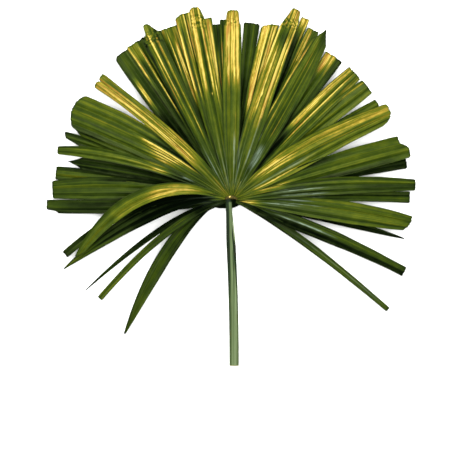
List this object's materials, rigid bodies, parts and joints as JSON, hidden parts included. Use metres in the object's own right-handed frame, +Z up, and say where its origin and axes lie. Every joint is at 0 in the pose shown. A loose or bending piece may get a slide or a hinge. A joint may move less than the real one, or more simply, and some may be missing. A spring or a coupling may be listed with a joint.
{
  "type": "fan palm leaf",
  "caption": "Cut fan palm leaf lying face up: a shallow pleated fan of blunt and pointed segments on a slim half-round stalk, with a small crest where they meet.",
  "frame": {"origin": "middle of the leaf's footprint, on the surface it lies on", "axes": "+Y from the stalk's cut end towards the crown of the fan, +Z up, out of the leaf's upper face, +X to the right seen from above"},
  "size_m": [0.4416, 0.4288, 0.0237],
  "materials": {
    "blade": "waxy green leaf with gold streaks",
    "petiole": "smooth pale green stalk with fine grooves",
    "hastula": "dry golden brown crest"
  },
  "bodies": {
    "root": {"blade": "blade", "petiole": "petiole", "hastula": "hastula"}
  },
  "joints": []
}
